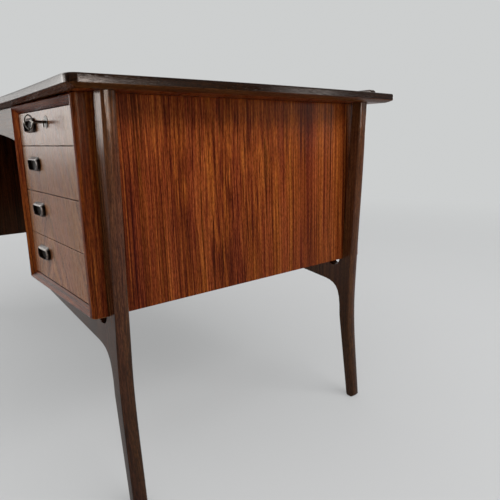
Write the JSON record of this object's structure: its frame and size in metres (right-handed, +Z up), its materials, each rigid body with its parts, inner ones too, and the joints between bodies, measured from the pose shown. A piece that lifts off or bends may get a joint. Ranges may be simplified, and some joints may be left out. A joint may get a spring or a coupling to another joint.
{
  "type": "executive desk",
  "caption": "Wooden executive desk: drawer pedestals either side of a kneehole, bowed top with raised back lip, arched apron, splayed outside leg frames, sliding drawers and a keyed lock.",
  "frame": {"origin": "on the floor, under the centre of the bounding box", "axes": "+X to the right for a viewer who faces the drawer fronts, +Y to the back of the desk, +Z up; the drawer fronts face -Y"},
  "size_m": [1.4172, 0.7212, 0.7325],
  "materials": {
    "striped_veneer": "satin lacquered striped rosewood veneer",
    "top_veneer": "satin lacquered rosewood veneer, grain along the length",
    "front_veneer": "satin lacquered rosewood veneer, upright grain",
    "dark_wood": "satin lacquered dark solid rosewood",
    "pull_wood": "turned and polished dark solid wood",
    "drawer_lining": "plain pale wood",
    "key_steel": "worn nickel-plated steel",
    "lock_metal": "dull plated metal"
  },
  "bodies": {
    "desk": {"top_panel": "top_veneer", "top_lipping_front": "dark_wood", "top_lipping_rear": "dark_wood", "top_lipping_right": "dark_wood", "top_lipping_left": "dark_wood", "top_rear_lip": "dark_wood", "kneehole_apron": "front_veneer", "modesty_panel": "striped_veneer", "case_right_outer": "striped_veneer", "case_right_inner": "striped_veneer", "case_right_top": "striped_veneer", "case_right_bottom": "striped_veneer", "case_right_back": "striped_veneer", "case_right_divider_1": "drawer_lining", "case_right_divider_2": "drawer_lining", "case_right_divider_3": "drawer_lining", "leg_frame_front_right": "dark_wood", "leg_frame_rear_right": "dark_wood", "case_left_outer": "striped_veneer", "case_left_inner": "striped_veneer", "case_left_top": "striped_veneer", "case_left_bottom": "striped_veneer", "case_left_back": "striped_veneer", "case_left_divider_1": "drawer_lining", "case_left_divider_2": "drawer_lining", "case_left_divider_3": "drawer_lining", "leg_frame_front_left": "dark_wood", "leg_frame_rear_left": "dark_wood"},
    "drawer_right_1": {"drawer_right_1_front": "front_veneer", "drawer_right_1_box": "drawer_lining", "drawer_right_1_pull": "pull_wood", "lock_case": "lock_metal"},
    "drawer_right_2": {"drawer_right_2_front": "front_veneer", "drawer_right_2_box": "drawer_lining", "drawer_right_2_pull": "pull_wood"},
    "drawer_right_3": {"drawer_right_3_front": "front_veneer", "drawer_right_3_box": "drawer_lining", "drawer_right_3_pull": "pull_wood"},
    "drawer_right_4": {"drawer_right_4_front": "front_veneer", "drawer_right_4_box": "drawer_lining", "drawer_right_4_pull": "pull_wood"},
    "drawer_left_1": {"drawer_left_1_front": "front_veneer", "drawer_left_1_box": "drawer_lining", "drawer_left_1_pull": "pull_wood"},
    "drawer_left_2": {"drawer_left_2_front": "front_veneer", "drawer_left_2_box": "drawer_lining", "drawer_left_2_pull": "pull_wood"},
    "drawer_left_3": {"drawer_left_3_front": "front_veneer", "drawer_left_3_box": "drawer_lining", "drawer_left_3_pull": "pull_wood"},
    "drawer_left_4": {"drawer_left_4_front": "front_veneer", "drawer_left_4_box": "drawer_lining", "drawer_left_4_pull": "pull_wood"},
    "lock": {"lock_cylinder": "lock_metal"},
    "bolt": {"lock_bolt": "key_steel"},
    "key": {"key": "key_steel"}
  },
  "joints": [
    {"name": "drawer_right_1_slide", "type": "slide", "parent": "desk", "child": "drawer_right_1", "axis": [0, -1, 0], "range_m": [0, 0.38]},
    {"name": "drawer_right_2_slide", "type": "slide", "parent": "desk", "child": "drawer_right_2", "axis": [0, -1, 0], "range_m": [0, 0.38]},
    {"name": "drawer_right_3_slide", "type": "slide", "parent": "desk", "child": "drawer_right_3", "axis": [0, -1, 0], "range_m": [0, 0.38]},
    {"name": "drawer_right_4_slide", "type": "slide", "parent": "desk", "child": "drawer_right_4", "axis": [0, -1, 0], "range_m": [0, 0.38]},
    {"name": "drawer_left_1_slide", "type": "slide", "parent": "desk", "child": "drawer_left_1", "axis": [0, -1, 0], "range_m": [0, 0.38]},
    {"name": "drawer_left_2_slide", "type": "slide", "parent": "desk", "child": "drawer_left_2", "axis": [0, -1, 0], "range_m": [0, 0.38]},
    {"name": "drawer_left_3_slide", "type": "slide", "parent": "desk", "child": "drawer_left_3", "axis": [0, -1, 0], "range_m": [0, 0.38]},
    {"name": "drawer_left_4_slide", "type": "slide", "parent": "desk", "child": "drawer_left_4", "axis": [0, -1, 0], "range_m": [0, 0.38]},
    {"name": "lock_turn", "type": "hinge", "parent": "drawer_right_1", "child": "lock", "pos_m": [0.473, -0.3244, 0.6627], "axis": [0, 1, 0], "range_deg": [0, 90]},
    {"name": "bolt_throw", "type": "slide", "parent": "drawer_right_1", "child": "bolt", "axis": [0, 0, 1], "range_m": [0, 0.007]},
    {"name": "key_push", "type": "slide", "parent": "lock", "child": "key", "axis": [0, 1, 0], "range_m": [-0.012, 0.009]}
  ],
  "couplings": [
    {"joint": "bolt_throw", "follows": "lock_turn", "m_per_rad": 0.00445}
  ]
}
